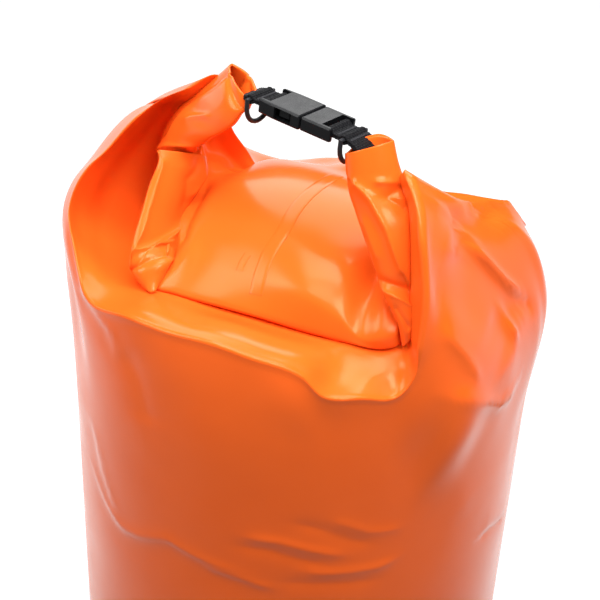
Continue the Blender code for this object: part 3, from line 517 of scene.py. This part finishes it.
def horn_tube(name, stations, mat, folds=(), n=96, subs=14, side=1.0, rear=2.5, rear_side=1.0, front=FRONT):
    """stations: (outer edge, inner edge, half thickness) in mm. The section
    is a lens with a fold at each edge."""
    O = hermite(np.array([s[0] for s in stations], float), subs)
    I = hermite(np.array([s[1] for s in stations], float), subs)
    T = hermite(np.array([[s[2]] for s in stations], float), subs)[:, 0]
    M = (O + I) / 2
    tan = np.gradient(M, axis=0)
    tan /= np.linalg.norm(tan, axis=1, keepdims=True)
    a = (O - I) / 2
    v = np.cross(tan, a)
    v /= np.linalg.norm(v, axis=1, keepdims=True)
    ph = np.arange(n) / n * 2 * pi
    x = np.cos(ph)
    y = np.sign(np.sin(ph)) * (1 - np.abs(x) ** 2.4) ** 0.62
    ring = M[:, None] + a[:, None] * x[None, :, None] + v[:, None] * (T[:, None] * y[None])[..., None] * side
    # folds: lines given as (station, place across), both layers move together
    arc = np.concatenate([[0], np.cumsum(np.linalg.norm(np.diff(M, axis=0), axis=1))])
    st = np.arange(len(M)) / subs
    U, Xx = np.meshgrid(arc, x, indexing="ij")
    Yy = Xx * np.linalg.norm(a, axis=1)[:, None]
    disp = np.zeros_like(Yy)
    for line, rh, rw, dh, dw, sd in folds:
        L = [np.array([np.interp(t, st, arc), xx * np.interp(t, st, np.linalg.norm(a, axis=1))]) for t, xx in line]
        best = np.full(Yy.shape, 1e9)
        sg = np.zeros(Yy.shape)
        for p, q in zip(L[:-1], L[1:]):
            d = (q - p)
            ln = np.linalg.norm(d)
            d = d / ln
            t = np.clip((U - p[0]) * d[0] + (Yy - p[1]) * d[1], 0, ln)
            ox, oy = U - p[0] - t * d[0], Yy - p[1] - t * d[1]
            r = np.sqrt(ox ** 2 + oy ** 2)
            c = d[0] * oy - d[1] * ox
            m = r < best
            best = np.where(m, r, best)
            sg = np.where(m, c, sg)
        disp += rh * np.exp(-((best / rw) ** 1.3)) + dh * np.where(sg * sd > 0, (best / dw) * np.exp(1 - best / dw), 0)
    ring = ring + v[:, None] * disp[..., None] * front
    # at the open tip the rear layer stands a little further out
    nst = len(M)
    for k in range(nst - 6, nst):
        f = ((k - (nst - 7)) / 6.0) ** 2
        ring[k] += tan[-1] * (rear * f * np.clip(-y * side * rear_side, 0, 1) * (1 - np.abs(x) ** 3))[:, None]
    W = np.swapaxes(ring, 0, 1).copy()
    W[..., 2] += LIFT
    W /= 1000.0

    def uv(A, B):
        u0, u1 = A / n * 0.075, (A + 1) / n * 0.075
        v0, v1 = B * 0.0035, (B + 1) * 0.0035
        return np.stack([np.stack([u0, v0], -1), np.stack([u1, v0], -1), np.stack([u1, v1], -1), np.stack([u0, v1], -1)], -2)
    o = grid_mesh(name, W, mat, uv=uv)
    return o, W


FOLD_LU = [([(1.0, 1.0), (1.5, 0.0), (1.7, -1.0)], -2.6, 2.6, 0, 1, 1), ([(0.5, 1.0), (0.9, 0.0), (1.0, -1.0)], 1.6, 2.4, 0, 1, 1),
           ([(2.2, 0.45), (4.0, 0.5), (6.6, 0.35)], 1.5, 3.5, -1.6, 8, -1), ([(3.2, -0.2), (4.2, -0.5)], -1.6, 4, 0, 1, 1),
           ([(6.2, -0.9), (6.9, 0.1)], 1.2, 3, -1.0, 5, 1)]
FOLD_LL = [([(6.2, 1.0), (5.9, 0.0), (5.6, -1.0)], -3.2, 2.8, 0, 1, 1), ([(5.2, 1.0), (5.1, 0.2), (4.7, -0.6)], 2.2, 2.6, 0, 1, 1),
           ([(0.8, 0.93), (3.0, 0.9), (5.0, 0.92)], 1.2, 2.6, -2.0, 10, -1), ([(0.6, -0.5), (1.6, -0.2), (2.6, -0.55)], -2.6, 4.5, 0, 1, 1),
           ([(1.3, -0.9), (2.2, -0.75)], 2.0, 3.0, 0, 1, 1), ([(3.4, -0.9), (4.4, -0.35), (4.9, -0.1)], 1.8, 3.0, -1.6, 6, 1)]
FOLD_RH = [([(6.3, -0.75), (5.45, -0.35), (4.4, 0.0), (3.2, 0.35)], 2.0, 2.8, -2.4, 8, 1), ([(5.9, 0.75), (5.5, 0.25), (5.0, 0.7)], -3.4, 4.5, 0, 1, 1),
           ([(6.3, 0.1), (6.15, 0.9)], 1.6, 2.6, 0, 1, 1),
           ([(2.75, -1.0), (2.55, 0.0), (2.45, 1.0)], -2.8, 2.6, 0, 1, 1), ([(2.2, -0.9), (2.0, 0.1), (1.75, 0.9)], 2.2, 2.6, -2.0, 4, -1),
           ([(1.5, -0.6), (0.8, 0.1)], -1.8, 2.0, 0, 1, 1), ([(4.6, -0.8), (3.6, -0.7)], 1.2, 3.0, 0, 1, 1)]
horns = []
for nm, st, folds, body in (("left_horn_top", LH_UP, FOLD_LU, "bag"), ("left_horn_base", LH_LO, FOLD_LL, "bag"), ("right_horn", RH, FOLD_RH, "bag")):
    right = nm == "right_horn"
    o, W = horn_tube(nm, st, FABRIC, folds, front=-1.0, rear_side=-1.0 if right else 1.0, rear=6.0 if right else 3.0)
    md = o.modifiers.new("sheet", 'SOLIDIFY')
    md.thickness = 0.0013
    md.offset = -1.0
    horns.append((o, W, body))
left_up, left_lo, right_h = [h[0] for h in horns]
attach(left_up, "bag")
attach(left_lo, "bag")
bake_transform(right_h)

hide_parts("bag_wall", "top_fold", "rolled_mouth", "mouth_stiffener", "left_gusset", "right_gusset")
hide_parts("left_horn")
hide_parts("right_horn_foot", "right_horn_top")

# =====================================================================
#  webbing: a doubled strap at each end of the buckle
# =====================================================================
BUCKLE = Vector((0.0148, -0.0440, 0.6105))
FACE = Matrix.Rotation(radians(-11.5), 3, 'Z') @ Matrix.Rotation(radians(-8.0), 3, 'X')


def strap(name, body, side, path, loop_x, ring_x, mat, tail=(0, 0, 0), taper=0.0, x_tail=43.0):
    """Two layers of woven webbing that meet in a loop round the buckle's
    bar, and part again round the ring's bar. The weave is in the mesh."""
    P = np.array(path, float) * 1000.0
    c = hermite(P, 24)
    xs, zs = c[:, 0] * side, c[:, 1]
    lx, rx = abs(loop_x) * 1000.0, abs(ring_x) * 1000.0
    step = 0.42
    x = np.arange(lx + 0.6, xs[-1], step)
    z = np.interp(x, xs, zs)
    sl = np.gradient(z, x)
    n = np.stack([-sl, np.ones_like(sl)], 1) / np.sqrt(1 + sl ** 2)[:, None]

    def gap(x):
        h = np.full_like(x, 0.72)
        for c0, r in ((lx, 2.55), (rx, 2.35)):
            d = np.abs(x - c0)
            arch = np.where(d < r, np.sqrt(np.maximum(r * r - d * d, 0)), 0)
            h = np.maximum(h, arch)
        k = np.ones(5) / 5
        hp = np.pad(h, 2, mode="edge")
        return np.convolve(hp, k, "valid")
    h = gap(x)
    up = np.stack([x, z], 1) + n * h[:, None]
    dn = np.stack([x, z], 1) - n * h[:, None]
    t = np.linspace(radians(105), radians(255), 17)
    arc = np.stack([lx + 2.55 * np.cos(t), 2.55 * np.sin(t)], 1)
    line = np.concatenate([up[::-1], arc, dn[: int(len(dn) * 0.86)]])
    d = np.concatenate([[0], np.cumsum(np.linalg.norm(np.diff(line, axis=0), axis=1))])
    s = np.arange(0, d[-1], step)
    line = np.stack([np.interp(s, d, line[:, 0]), np.interp(s, d, line[:, 1])], 1)
    tg = np.gradient(line, axis=0)
    tg /= np.linalg.norm(tg, axis=1, keepdims=True)
    nn = np.stack([-tg[:, 1], tg[:, 0]], 1)
    half, th = 10.0, 0.60
    ya = np.linspace(-half + 0.25, half - 0.25, 53)
    sec = [(y, th, 1.0) for y in ya] + [(half, th * 0.45, 0.0), (half, -th * 0.45, 0.0)] + \
          [(y, -th, 1.0) for y in ya[::-1]] + [(-half, -th * 0.45, 0.0), (-half, th * 0.45, 0.0)]
    sec = np.array(sec)
    m = len(sec)
    S, Y = np.meshgrid(s, sec[:, 0], indexing="ij")
    k = np.round(Y / 1.27)
    weave = 0.24 * np.cos(2 * pi * (S / 2.1 + 0.5 * (k % 2))) * np.cos(pi * (Y / 1.27 - k)) ** 1
    weave += 0.10 * np.exp(-((np.abs(Y) - 9.1) / 0.5) ** 2)
    off = sec[None, :, 1] + np.sign(sec[None, :, 1]) * sec[None, :, 2] * weave
    pts = np.zeros((len(s), m, 3))
    pts[..., 0] = (line[:, None, 0] + nn[:, None, 0] * off) * side
    pts[..., 1] = Y
    pts[..., 2] = line[:, None, 1] + nn[:, None, 1] * off
    ramp = np.clip((line[:, 0] - x_tail) / 9.0, 0, 1)
    ramp = (ramp ** 2 * (3 - 2 * ramp))[:, None]
    pts[..., 1] *= 1 - taper * ramp
    pts += ramp[..., None] * np.array(tail, float)
    R = np.array(FACE)
    W = (pts / 1000.0) @ R.T + np.array(BUCKLE)
    W = np.swapaxes(W, 0, 1).copy()                  # section, length, xyz

    def uv(A, B):
        y0 = sec[A, 0] / 1000.0
        y1 = sec[(A + 1) % m, 0] / 1000.0
        v0, v1 = B * step / 1000.0, (B + 1) * step / 1000.0
        return np.stack([np.stack([v0, y0], -1), np.stack([v0, y1], -1), np.stack([v1, y1], -1), np.stack([v1, y0], -1)], -2)
    o = grid_mesh(name, W, mat, uv=uv, flip=(side > 0))
    bm = bmesh.new()
    bm.from_mesh(o.data)
    bmesh.ops.holes_fill(bm, edges=[e for e in bm.edges if e.is_boundary], sides=0)
    bm.to_mesh(o.data)
    bm.free()
    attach(o, body)
    # bar tacks: zigzag thread across the upper layer, on each side of the ring
    tacks = []
    for xt in (rx - 4.6, rx + 4.4):
        zz = []
        for i in range(31):
            y = -8.4 + 16.8 * i / 30
            xx = xt + (0.75 if i % 2 else -0.75)
            q = np.interp(xx, x, up[:, 1]) + th + 0.22
            zz.append(((xx * side) / 1000.0, y / 1000.0, q / 1000.0))
        tacks.append(zz)
    th_o = tube(name + "_stitch", [[tuple((np.array(p) @ R.T) + np.array(BUCKLE)) for p in zz] for zz in tacks], 0.00032, THREAD)
    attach(th_o, body)
    return o


def tube(name, lines, r, mat, n=8, closed=False):
    """Round tubes along polylines, in one mesh."""
    vs, fs = [], []
    for line in lines:
        L = np.array(line, float)
        k = len(L)
        t = np.gradient(L, axis=0) if not closed else np.roll(L, -1, 0) - np.roll(L, 1, 0)
        t /= np.linalg.norm(t, axis=1, keepdims=True) + 1e-12
        up = np.array([0.0, 0.0, 1.0])
        a = np.cross(t, up)
        bad = np.linalg.norm(a, axis=1) < 1e-3
        a[bad] = np.array([1.0, 0, 0])
        a /= np.linalg.norm(a, axis=1, keepdims=True)
        b2 = np.cross(t, a)
        base = len(vs)
        for i in range(k):
            for j in range(n):
                w = 2 * pi * j / n
                vs.append(tuple(L[i] + r * (cos(w) * a[i] + sin(w) * b2[i])))
        for i in range(k if closed else k - 1):
            i2 = (i + 1) % k
            for j in range(n):
                fs.append((base + i * n + j, base + i * n + (j + 1) % n, base + i2 * n + (j + 1) % n, base + i2 * n + j))
        if not closed:
            fs.append(tuple(base + j for j in range(n))[::-1])
            fs.append(tuple(base + (k - 1) * n + j for j in range(n)))
    me = bpy.data.meshes.new(name)
    me.from_pydata(vs, [], fs)
    me.update()
    for p in me.polygons:
        p.use_smooth = True
    me.materials.append(mat)
    return link(name, me)


PATH_L = [(-.0232, 0), (-.0300, -.0002), (-.0380, -.0006), (-.0425, -.0020), (-.0450, -.0036), (-.0470, -.0052)]
PATH_R = [(.0232, 0), (.0300, -.0002), (.0390, -.0008), (.0455, -.0040), (.0490, -.0085), (.0508, -.0132)]
lw = strap("left_strap", "bag", -1, PATH_L, -0.0232, -0.0345, WEB, tail=(0.0, 7.0, -1.0), taper=0.50, x_tail=38.5)
rw = strap("right_strap", "loose_end", 1, PATH_R, 0.0232, 0.0345, WEB, tail=(0.0, 1.5, 0.0), taper=0.15, x_tail=46.0)
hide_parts("left_webbing")
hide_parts("right_webbing")

for nm, mat in (("buckle_housing", PLASTIC), ("buckle_plug", PLASTIC),
                ("front_latch_arm", PLASTIC), ("rear_latch_arm", PLASTIC), ("left_d_ring", RINGS), ("right_d_ring", RINGS)):
    o = bpy.data.objects[nm]
    for sl in o.material_slots:
        sl.material = mat

# =====================================================================
#  base: a disc with an upturned flange, welded round the foot of the wall
# =====================================================================
prof = [(0.0, 1.6), (40, 1.5), (80, 1.1), (115, 0.5), (140, 0.15), (149.5, 0.0), (152.6, 0.5), (154.4, 1.9), (155.1, 4.2), (155.3, 8.0),
        (155.35, 14.0), (155.4, 20.0), (155.5, 23.6), (155.35, 24.4), (154.9, 24.5), (154.5, 23.9),
        (154.35, 20.0), (154.2, 12.0), (153.9, 6.4), (153.1, 3.2), (150.5, 1.5), (140, 1.25), (110, 1.6), (70, 2.2), (0.0, 2.7)]
prof = hermite(np.array(prof, float), 3)
nb = 240
ang = np.arange(nb) / nb * 2 * pi
B = np.zeros((nb, len(prof), 3))
pucker = 1 + 0.0 * ang
rr_, zz_ = prof[:, 0], prof[:, 1]
ripple = 0.18 * np.sin(ang * 23 + 1.1 * np.sin(ang * 5)) + 0.12 * np.sin(ang * 41 + 0.7)
edge = np.clip((rr_ - 150) / 4, 0, 1) * np.clip((zz_ - 3) / 12, 0, 1)
rad = rr_[None] + ripple[:, None] * edge[None]
B[..., 0] = rad * np.cos(ang)[:, None]
B[..., 1] = rad * np.sin(ang)[:, None]
B[..., 2] = zz_[None] + (0.35 * np.sin(ang * 3 + 0.6) * 1.0)[:, None] * (np.clip((rr_ - 152) / 3, 0, 1) * np.clip((zz_ - 12) / 12, 0, 1))[None] \
    + (0.5 * np.sin(ang * 4 + 1.3)[:, None] + 0.5) * (np.exp(-((rr_ - 95) / 32) ** 2))[None] * 0.8
B /= 1000.0


def disc_uv(A, Bv):
    a0, a1 = ang[A], ang[(A + 1) % nb]
    r0, r1 = rr_[Bv] / 1000, rr_[np.minimum(Bv + 1, len(rr_) - 1)] / 1000
    return np.stack([np.stack([r0 * np.cos(a0), r0 * np.sin(a0)], -1), np.stack([r0 * np.cos(a1), r0 * np.sin(a1)], -1),
                     np.stack([r1 * np.cos(a1), r1 * np.sin(a1)], -1), np.stack([r1 * np.cos(a0), r1 * np.sin(a0)], -1)], -2)


base = grid_mesh("base_panel", B, FABRIC, uv=disc_uv, flip=True)
bm = bmesh.new()
bm.from_mesh(base.data)
bmesh.ops.remove_doubles(bm, verts=bm.verts[:], dist=0.00002)
bmesh.ops.recalc_face_normals(bm, faces=bm.faces[:])
bm.to_mesh(base.data)
bm.free()
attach(base, "bag")
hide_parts("base_disc")

# =====================================================================
#  seams: narrow welded laps that follow the sheet
# =====================================================================
from mathutils.bvhtree import BVHTree
nv_ = V.shape[1]
tri = []
nu_ = V.shape[0]
for i in range(nu_):
    i2 = (i + 1) % nu_
    for j in range(nv_ - 1):
        tri.append((i * nv_ + j, i2 * nv_ + j, i2 * nv_ + j + 1, i * nv_ + j + 1))
TREE = BVHTree.FromPolygons([Vector(v) for v in V.reshape(-1, 3)], tri)
OUTWARD = NRM.reshape(-1, 3)


def lap(name, line, width, rise, n=90):
    """A strip of sheet laid along a line on the bag, standing rise above it
    with tapered edges. The line is in millimetres from LIFT."""
    P = np.array(line, float)
    P[:, 2] += LIFT
    P = hermite(P / 1000.0, max(2, n // (len(P) - 1)))
    on = []
    for p in P:
        q, nr, idx, d = TREE.find_nearest(Vector(p))
        ref = OUTWARD[tri[idx][0]]
        if nr.dot(Vector(ref)) < 0:
            nr = -nr
        on.append((q, nr))
    C = np.array([q for q, _ in on])
    for _ in range(4):
        C[1:-1] = (C[:-2] + C[1:-1] * 2 + C[2:]) / 4
    T = np.gradient(C, axis=0)
    T /= np.linalg.norm(T, axis=1, keepdims=True)
    prof = [(-1.0, -0.25), (-0.97, 0.55), (-0.90, 1.0), (-0.45, 0.96), (0.0, 0.94), (0.45, 0.96), (0.90, 1.0), (0.97, 0.55), (1.0, -0.25)]
    rows_ = []
    for i in range(len(C)):
        nr = np.array(on[i][1])
        side = np.cross(T[i], nr)
        side /= np.linalg.norm(side)
        row = []
        for s_, h_ in prof:
            q, n2, idx, d = TREE.find_nearest(Vector(C[i] + side * s_ * width / 2000.0))
            ref = OUTWARD[tri[idx][0]]
            if n2.dot(Vector(ref)) < 0:
                n2 = -n2
            row.append(np.array(q) + np.array(n2) * (h_ * rise / 1000.0))
        rows_.append(row)
    W = np.array(rows_)
    W = np.swapaxes(W, 0, 1).copy()
    for _ in range(2):
        W[:, 1:-1] = (W[:, :-2] + W[:, 1:-1] * 2 + W[:, 2:]) / 4

    def uv(A, Bv):
        a0, a1 = A * width / 8000.0, (A + 1) * width / 8000.0
        v0, v1 = Bv * 0.002, (Bv + 1) * 0.002
        return np.stack([np.stack([a0, v0], -1), np.stack([a1, v0], -1), np.stack([a1, v1], -1), np.stack([a0, v1], -1)], -2)
    o = grid_mesh(name, W, FABRIC, closed_u=False, uv=uv)
    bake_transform(o)
    return o


LAPS = [lap(nm, line, w, h) for nm, line, w, h in SEAMS]

def mesh_area(o):
    me = o.data
    n = len(me.polygons)
    ar = np.zeros(n)
    me.polygons.foreach_get("area", ar)
    return float(ar.sum())


AREAS = {o.name: mesh_area(o) for o in (shell, left_up, left_lo, right_h, lw, rw, base)}

# =====================================================================
#  studio
# =====================================================================
FAR_GLOW = 0.82
me = bpy.data.meshes.new("floor")
bm = bmesh.new()
bmesh.ops.create_grid(bm, x_segments=1, y_segments=1, size=6.0)
bm.to_mesh(me)
bm.free()
fm, nt, b = new_mat("floor_paper")
tc = node(nt, "ShaderNodeTexCoord")
nz = node(nt, "ShaderNodeTexNoise", Scale=3.0, Detail=3.0)
nt.links.new(tc.outputs["Object"], nz.inputs["Vector"])
rp = node(nt, "ShaderNodeValToRGB")
rp.color_ramp.elements[0].color = (0.30, 0.30, 0.30, 1)
rp.color_ramp.elements[1].color = (0.33, 0.33, 0.33, 1)
nt.links.new(nz.outputs["Fac"], rp.inputs["Fac"])
nt.links.new(rp.outputs["Color"], b.inputs["Base Color"])
b.inputs["Roughness"].default_value = 0.9
# painted light: the floor beyond the bag, away from the camera, glows white in place of a lit backdrop; no lamp lights
# it
far = node(nt, "ShaderNodeVectorMath", operation='DOT_PRODUCT')
far.inputs[1].default_value = (-sin(radians(25)), cos(radians(25)), 0.0)
nt.links.new(tc.outputs["Object"], far.inputs[0])
fr = node(nt, "ShaderNodeMapRange")
fr.interpolation_type = 'SMOOTHSTEP'
fr.inputs["From Min"].default_value, fr.inputs["From Max"].default_value = -0.25, 0.20
fr.inputs["To Min"].default_value, fr.inputs["To Max"].default_value = 0.0, FAR_GLOW
nt.links.new(far.outputs["Value"], fr.inputs["Value"])
# painted light: the floor well away from the bag, all round it, glows too, at half that strength
dist = node(nt, "ShaderNodeVectorMath", operation='LENGTH')
nt.links.new(tc.outputs["Object"], dist.inputs[0])
ring = node(nt, "ShaderNodeMapRange")
ring.interpolation_type = 'SMOOTHSTEP'
ring.inputs["From Min"].default_value, ring.inputs["From Max"].default_value = 0.60, 1.80
ring.inputs["To Min"].default_value, ring.inputs["To Max"].default_value = 0.0, FAR_GLOW * 0.50
nt.links.new(dist.outputs["Value"], ring.inputs["Value"])
glow = node(nt, "ShaderNodeMath", operation='MAXIMUM')
nt.links.new(fr.outputs["Result"], glow.inputs[0])
nt.links.new(ring.outputs["Result"], glow.inputs[1])
b.inputs["Emission Color"].default_value = (1.0, 1.0, 1.0, 1.0)
nt.links.new(glow.outputs[0], b.inputs["Emission Strength"])
me.materials.append(fm)
floor = bpy.data.objects.new("floor", me)
floor.location = (0, 0, -0.0006)
bpy.context.collection.objects.link(floor)

world = bpy.data.worlds.new("studio")
bpy.context.scene.world = world
world.use_nodes = True
wnt = world.node_tree
bg = wnt.nodes["Background"]
wtc = node(wnt, "ShaderNodeTexCoord")
wsep = node(wnt, "ShaderNodeSeparateXYZ")
wnt.links.new(wtc.outputs["Generated"], wsep.inputs[0])
wr = node(wnt, "ShaderNodeValToRGB")
wr.color_ramp.interpolation = 'EASE'
els = wr.color_ramp.elements
els[0].position, els[0].color = 0.45, (0.05, 0.05, 0.051, 1)
els[1].position, els[1].color = 0.90, (1.0, 1.0, 1.0, 1)
wnt.links.new(wsep.outputs["Z"], wr.inputs["Fac"])
wnt.links.new(wr.outputs["Color"], bg.inputs["Color"])
bg.inputs["Strength"].default_value = 0.24


def area(name, loc, aim, size, power, color=(1, 1, 1)):
    l = bpy.data.lights.new(name, 'AREA')
    l.shape = 'RECTANGLE'
    l.size, l.size_y = size
    l.energy = power
    l.color = color
    o = bpy.data.objects.new(name, l)
    o.location = loc
    o.rotation_mode = 'QUATERNION'
    o.rotation_quaternion = (Vector(aim) - Vector(loc)).to_track_quat('-Z', 'Y')
    o.visible_camera = False
    o.visible_glossy = name != "side_right"      # a soft fill, with no hot spot of its own
    bpy.context.collection.objects.link(o)
    return o


AIM = (0.0, -0.02, 0.50)
for nm, az, el, size, power in (("key_front", -90, 62, 0.4, 3.0), ("key_left", -140, 36, 0.5, 6.2), ("key_right", -50, 50, 0.4, 7.2),
                                ("side_right", 0, 55, 0.5, 9.0), ("overhead", 0, 89, 0.6, 10.8), ("rear_panel", 115, 42, 0.9, 9.0),
                                ("rim_left", 175, 12, 0.5, 1.5)):
    a, e = radians(az), radians(el)
    area(nm, (AIM[0] + 1.1 * cos(e) * cos(a), AIM[1] + 1.1 * cos(e) * sin(a), AIM[2] + 1.1 * sin(e)), AIM, (size, size), power)

cam = bpy.data.cameras.new("camera")
cam.sensor_width = 36.0
cam.lens = 95.73
cam.clip_end = 50
co = bpy.data.objects.new("camera", cam)
az, el, roll = radians(25), radians(37), radians(2.76)
back = Vector((sin(az) * cos(el), -cos(az) * cos(el), sin(el)))
right = Vector((cos(az), sin(az), 0))
up = back.cross(right)
rr = right * cos(roll) + up * sin(roll)
uu = up * cos(roll) - right * sin(roll)
M = Matrix((rr, uu, back)).transposed().to_4x4()
M.translation = Vector((0.35906, -0.77827, 0.64587 + LIFT / 1000))
co.matrix_world = M
bpy.context.collection.objects.link(co)
bpy.context.scene.camera = co
bpy.context.scene.view_settings.view_transform = 'Standard'
